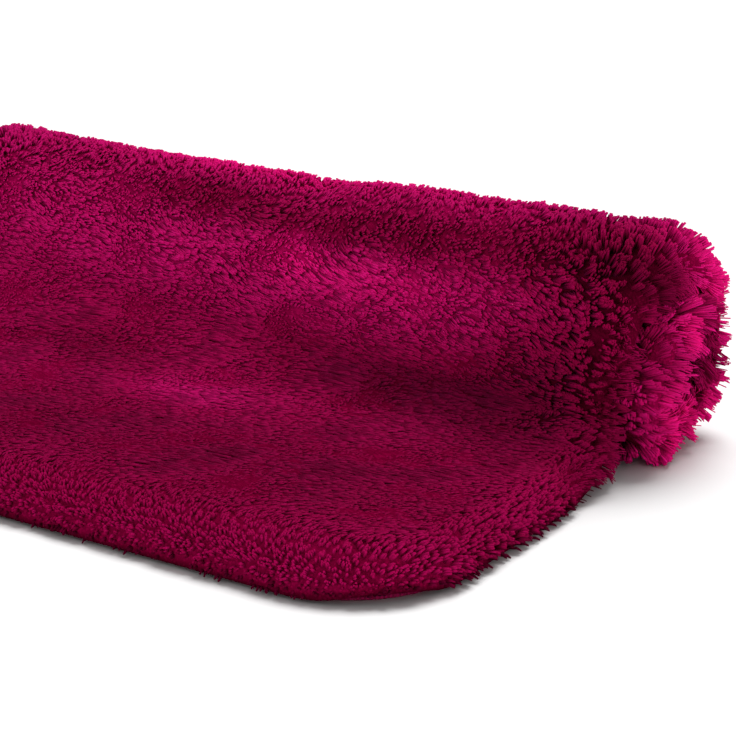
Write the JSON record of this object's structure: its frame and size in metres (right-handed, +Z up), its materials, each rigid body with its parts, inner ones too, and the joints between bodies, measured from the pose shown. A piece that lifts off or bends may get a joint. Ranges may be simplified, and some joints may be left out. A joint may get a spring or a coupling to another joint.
{
  "type": "rolled shaggy bath mat",
  "caption": "Shaggy bath mat with rounded corners, its front lying flat and the rest rolled under itself with the pile outside.",
  "frame": {"origin": "middle of the mat's bounding box, on the floor", "axes": "+X along the roll to the end that is wound more tightly, -Y towards the flat front edge, +Z up"},
  "size_m": [0.569, 0.3882, 0.1424],
  "materials": {
    "pile": "deep magenta long-pile yarn, matt with a soft sheen"
  },
  "bodies": {
    "root": {"mat": "pile"}
  },
  "joints": []
}
